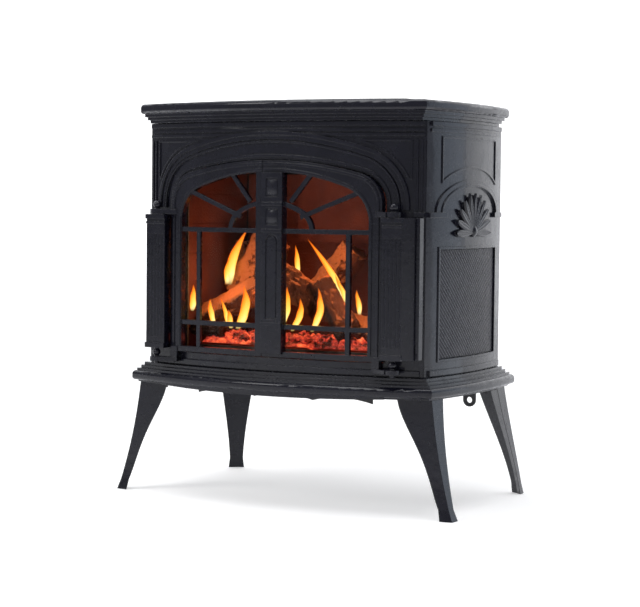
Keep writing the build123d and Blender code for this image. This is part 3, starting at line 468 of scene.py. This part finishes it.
# Each flame: foot, tip, half width and sideways bow.
FLAMES = (
    ((-0.156, -0.048, 0.348), (-0.117, -0.048, 0.446), 0.0165, -0.012),
    ((-0.160, -0.050, 0.350), (-0.150, -0.050, 0.402), 0.0100, -0.004),
    ((-0.192, -0.108, 0.306), (-0.190, -0.108, 0.352), 0.0100, 0.001),
    ((-0.148, -0.106, 0.284), (-0.156, -0.106, 0.330), 0.0095, -0.004),
    ((-0.122, -0.106, 0.284), (-0.138, -0.106, 0.332), 0.0070, 0.003),
    ((-0.104, -0.106, 0.278), (-0.094, -0.106, 0.354), 0.0155, 0.011),
    ((-0.116, -0.106, 0.280), (-0.120, -0.106, 0.312), 0.0100, 0.000),
    ((0.072, -0.056, 0.326), (-0.002, -0.056, 0.432), 0.0125, 0.011),
    ((0.080, -0.062, 0.326), (0.056, -0.062, 0.374), 0.0080, 0.003),
    ((0.040, -0.108, 0.280), (0.048, -0.108, 0.354), 0.0120, 0.012),
    ((-0.014, -0.108, 0.290), (-0.008, -0.108, 0.354), 0.0125, 0.004),
    ((0.004, -0.110, 0.280), (0.018, -0.110, 0.336), 0.0110, 0.008),
    ((0.116, -0.084, 0.310), (0.108, -0.084, 0.352), 0.0080, 0.002),
    ((-0.038, -0.020, 0.364), (-0.042, -0.020, 0.420), 0.0085, 0.001),
)


# ---------------------------------------------------------------- side panels
def make_lattice(sign, name, replaced, material):
    """A pierced lattice of crossed bars over a dark plate, following the side's arc."""
    low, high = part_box(replaced)
    half_bar, depth, parts = LATTICE_HALF_BAR, LATTICE_DEPTH, 10
    points, faces = [], []
    width, tall = high.y - low.y, high.z - low.z
    for lean in (1, -1):
        count = int((width + tall) / LATTICE_PITCH)
        for line in range(1, count):
            offset = line * LATTICE_PITCH
            first = max(0.0, offset - tall)
            last = min(width, offset)
            if last - first < half_bar * 4:
                continue
            start = len(points)
            for part in range(parts + 1):
                run = first + (last - first) * part / parts
                y = low.y + run
                z = low.z + (offset - run) if lean > 0 else high.z - (offset - run)
                surface = side_x(y) - LATTICE_RECESS + (LATTICE_OVER if lean > 0 else 0.0)
                for shift, out in ((-half_bar, 0.0), (half_bar, 0.0), (half_bar, depth), (-half_bar, depth)):
                    y_out = min(max(y + shift * 0.7, low.y), high.y)
                    z_out = min(max(z + shift * 0.7 * lean, low.z), high.z)
                    points.append((sign * (surface + out), y_out, z_out))
            for part in range(parts):
                for side in range(4):
                    after = (side + 1) % 4
                    here, there = start + part * 4, start + part * 4 + 4
                    faces.append((here + side, here + after, there + after, there + side))
            faces += [(start + 3, start + 2, start + 1, start),
                      tuple(start + parts * 4 + corner for corner in range(4))]
    piece = new_piece(name, points, faces, material, smooth=False)


def make_fan(sign, name, material):
    """Domed, veined leaves of the fan in the side's niche, with the boss at their foot."""
    points, faces = [], []
    for leaf in range(LEAVES):
        lean = (leaf - (LEAVES - 1) / 2) * LEAF_STEP
        rows, columns, first = 22, 11, len(points)
        for row in range(rows):
            t = row / (rows - 1)
            half = LEAF_WIDE * 0.58 * sin(pi * min(1.0, 0.08 + t * 0.90)) ** 0.6 * (0.45 + 0.75 * t)
            for column in range(columns):
                u = 2 * column / (columns - 1) - 1
                run, aside = LEAF_INSET + LEAF_LONG * t, half * u
                y = SIDE_MID_Y + run * sin(lean) + aside * cos(lean)
                z = LEAF_FOOT_Z + run * cos(lean) - aside * sin(lean)
                dome = sqrt(max(0.0, 1 - u * u)) * LEAF_DOME - LEAF_VEIN * (1 - abs(u)) ** 3
                curl = LEAF_CURL * t ** 2
                points.append((sign * (side_x(y) + LEAF_PROUD + dome + curl), y, z))
        faces += grid_faces(first, rows, columns)
    rings, around, first = 6, 20, len(points)
    for ring in range(rings):
        tilt = pi / 2 * ring / rings
        for step in range(around):
            angle = 2 * pi * step / around
            y = SIDE_MID_Y + BOSS_R * cos(tilt) * cos(angle)
            z = LEAF_FOOT_Z + BOSS_UP + BOSS_R * cos(tilt) * sin(angle)
            points.append((sign * (side_x(y) + BOSS_PROUD + BOSS_DOME * sin(tilt)), y, z))
    middle_x, middle_z = side_x(SIDE_MID_Y), LEAF_FOOT_Z + BOSS_UP
    points.append((sign * middle_x, SIDE_MID_Y, middle_z))
    points.append((sign * (middle_x + BOSS_PROUD + BOSS_DOME), SIDE_MID_Y, middle_z))
    faces += [tuple(first + corner for corner in face) for face in tube_faces(rings, around)]
    piece = new_piece(name, points, faces, material)


def make_pillows(material):
    """Convex fields in the middle pilaster's two short panels, which catch the light."""
    points, faces = [], []
    rows = 13
    for low_z, high_z in PILLOW_LEVELS:
        first = len(points)
        for row in range(rows):
            for column in range(rows):
                u, v = 2 * row / (rows - 1) - 1, 2 * column / (rows - 1) - 1
                x = PILLOW_MID_X + PILLOW_HALF * v
                z = (low_z + high_z) / 2 + (high_z - low_z) / 2 * u
                front = DOOR_AXIS_Y - sqrt((DOOR_R + PANEL_PROUD) ** 2 - x ** 2)
                points.append((x, front - PILLOW_RISE * (1 - u ** 2) * (1 - v ** 2), z))
        faces += grid_faces(first, rows, rows)
    piece = new_piece("astragal_pillows", points, faces, material, body="right_door")


# ---------------------------------------------------------------- studio
def studio_surface(name, glow):
    """Pale paper, lit a little from within so that it reads as white."""
    material, tree, shader = new_material(name)
    shade = ramp(tree, grain(tree, 2.0), [(0.3, (0.82, 0.82, 0.82)), (0.7, (0.86, 0.86, 0.86))])
    tree.links.new(shade, shader.inputs["Base Color"])
    shader.inputs["Roughness"].default_value = 0.8
    shader.inputs["Emission Color"].default_value = (1.0, 1.0, 1.0, 1.0)
    shader.inputs["Emission Strength"].default_value = glow
    return material


def make_stage():
    """Plain pale floor and a backdrop square to the camera."""
    for name, size, place, turn, glow in (
        ("studio_floor", 30.0, (0, 0, 0), (0, 0, 0), FLOOR_GLOW),
        ("studio_backdrop", 14.0, (-1.9, 3.4, 3.0), (pi / 2, 0, CAMERA_YAW), BACKDROP_GLOW),
    ):
        bpy.ops.mesh.primitive_plane_add(size=size, location=place, rotation=turn)
        sheet = bpy.context.object
        sheet.name = name
        sheet.data.materials.append(studio_surface(name, glow))


def soft_light(name, place, aim, size, power, colour):
    """A large rectangular lamp turned towards a point."""
    lamp = bpy.data.lights.new(name, "AREA")
    lamp.shape = "RECTANGLE"
    lamp.size, lamp.size_y = size
    lamp.energy = power
    lamp.color = colour
    holder = bpy.data.objects.new(name, lamp)
    holder.location = place
    holder.rotation_euler = (Vector(aim) - Vector(place)).to_track_quat("-Z", "Y").to_euler()
    bpy.context.scene.collection.objects.link(holder)


def fire_light(name, place):
    """A small warm lamp among the flames."""
    lamp = bpy.data.lights.new(name, "POINT")
    lamp.energy = FIRE_POWER
    lamp.color = FIRE_COLOUR
    lamp.shadow_soft_size = 0.018
    holder = bpy.data.objects.new(name, lamp)
    holder.location = place
    holder.visible_glossy = False
    bpy.context.scene.collection.objects.link(holder)


def make_lights():
    """World, soft boxes and the fire's own light."""
    scene = bpy.context.scene
    scene.view_settings.view_transform = "Standard"
    world = bpy.data.worlds.new("studio")
    world.use_nodes = True
    background = world.node_tree.nodes["Background"]
    background.inputs["Color"].default_value = WORLD_COLOUR
    background.inputs["Strength"].default_value = WORLD_STRENGTH
    scene.world = world
    soft_light("front_box", (-1.5, -2.4, 2.3), (0, 0, 0.35), (1.4, 1.2), 34.0, (1.0, 0.99, 0.98))
    soft_light("top_box", (0.1, -0.4, 2.6), (0, 0, 0.5), (2.2, 1.4), 40.0, (1.0, 1.0, 1.0))
    soft_light("side_box", (1.55, 1.55, 0.75), (0.26, 0, 0.42), (0.62, 1.7), 3.0, (0.70, 0.84, 1.0))
    for number, place in enumerate(FIRE_LIGHTS):
        fire_light(f"fire_light_{number}", place)


def make_camera():
    """The camera, from its place, its three angles and its lens."""
    scene = bpy.context.scene
    camera = bpy.data.objects.new("camera", bpy.data.cameras.new("camera"))
    camera.data.sensor_width = SENSOR_WIDE
    camera.data.sensor_fit = "HORIZONTAL"
    camera.data.lens = CAMERA_LENS
    camera.data.clip_start = 0.05
    camera.data.dof.use_dof = False
    level = Vector((cos(CAMERA_YAW), sin(CAMERA_YAW), 0))
    ahead = Vector((-sin(CAMERA_YAW), cos(CAMERA_YAW), 0))
    forward = ahead * cos(CAMERA_PITCH) - Vector((0, 0, sin(CAMERA_PITCH)))
    lift = ahead * sin(CAMERA_PITCH) + Vector((0, 0, cos(CAMERA_PITCH)))
    right = level * cos(CAMERA_ROLL) + lift * sin(CAMERA_ROLL)
    top = lift * cos(CAMERA_ROLL) - level * sin(CAMERA_ROLL)
    turn = Matrix((right, top, -forward)).transposed().to_4x4()
    camera.matrix_world = Matrix.Translation(CAMERA_AT) @ turn
    scene.collection.objects.link(camera)
    scene.camera = camera


# ---------------------------------------------------------------- dress the frame
def dress(names, material):
    """One material on some CAD nodes."""
    for name in names:
        mesh = NODES[name].data
        mesh.materials.clear()
        mesh.materials.append(material)


enamel = enamel_material()
dress(IRON_NODES, enamel)
dress(("right_side_mesh", "left_side_mesh"),
      plain_surface("mesh_backing", (0.006, 0.006, 0.010), (0.012, 0.012, 0.018), (0.5, 0.7)))
dress(SHEET_NODES, plain_surface("painted_sheet", (0.012, 0.012, 0.014), (0.024, 0.024, 0.027), (0.45, 0.62)))
dress(STEEL_NODES,
      plain_surface("firebox_steel", (0.10, 0.095, 0.09), (0.24, 0.23, 0.22), (0.35, 0.6), 0.8, scale=40))
dress(BRASS_NODES, plain_surface("brass", (0.42, 0.29, 0.10), (0.66, 0.48, 0.20), (0.25, 0.42), 1.0))
dress(PLASTIC_NODES,
      plain_surface("black_plastic", (0.010, 0.010, 0.010), (0.020, 0.020, 0.020), (0.38, 0.5)))
dress(SCREW_NODES, plain_surface("black_steel", (0.05, 0.05, 0.055), (0.12, 0.12, 0.125), (0.3, 0.5), 0.9))
dress(("glass_gasket",),
      plain_surface("rope", (0.05, 0.05, 0.05), (0.12, 0.12, 0.12), (0.85, 0.95), scale=300, depth=0.001))
dress(("window_glass",), glass_material())
dress(REFRACTORY_NODES,
      plain_surface("refractory", (0.075, 0.026, 0.022), (0.13, 0.046, 0.036), (0.8, 0.95),
                    scale=22, depth=0.0012))

# Each finish: char, bark, pale and cut colours, and lit_from; pale and cut go on faces turned up past
# lit_from, as wood colour and painted top light.
log_finish = {
    "split": log_material("split_wood", (0.030, 0.012, 0.008), (0.13, 0.052, 0.030),
                          (0.60, 0.27, 0.115), (0.26, 0.095, 0.040), -0.25),
    "charred": log_material("charred_wood", (0.022, 0.012, 0.010), (0.085, 0.042, 0.030),
                            (0.46, 0.20, 0.09), (0.17, 0.068, 0.032), 0.55),
}
for node, (start, end, radii, split_turn, seed, finish) in LOGS.items():
    make_log(node, start, end, radii, split_turn, seed, log_finish[finish])
make_ember_bed(ember_material())
flame = flame_material()
for number, (foot, tip, width, bow) in enumerate(FLAMES):
    make_flame(f"flame_{number}", foot, tip, width, bow, flame)

# Lattice bars a lighter, bluer grey than the enamel: partly a painted sheen that stands in for the bars'
# bluish highlights.
woven = plain_surface("woven_lattice_painted_sheen", (0.020, 0.020, 0.030), (0.034, 0.034, 0.050), (0.22, 0.34), 0.3, 90)
for sign, side in ((1, "right"), (-1, "left")):
    make_lattice(sign, side + "_lattice", side + "_side_mesh", woven)
    make_fan(sign, side + "_fan", enamel)

make_pillows(enamel)

make_stage()
make_lights()
make_camera()
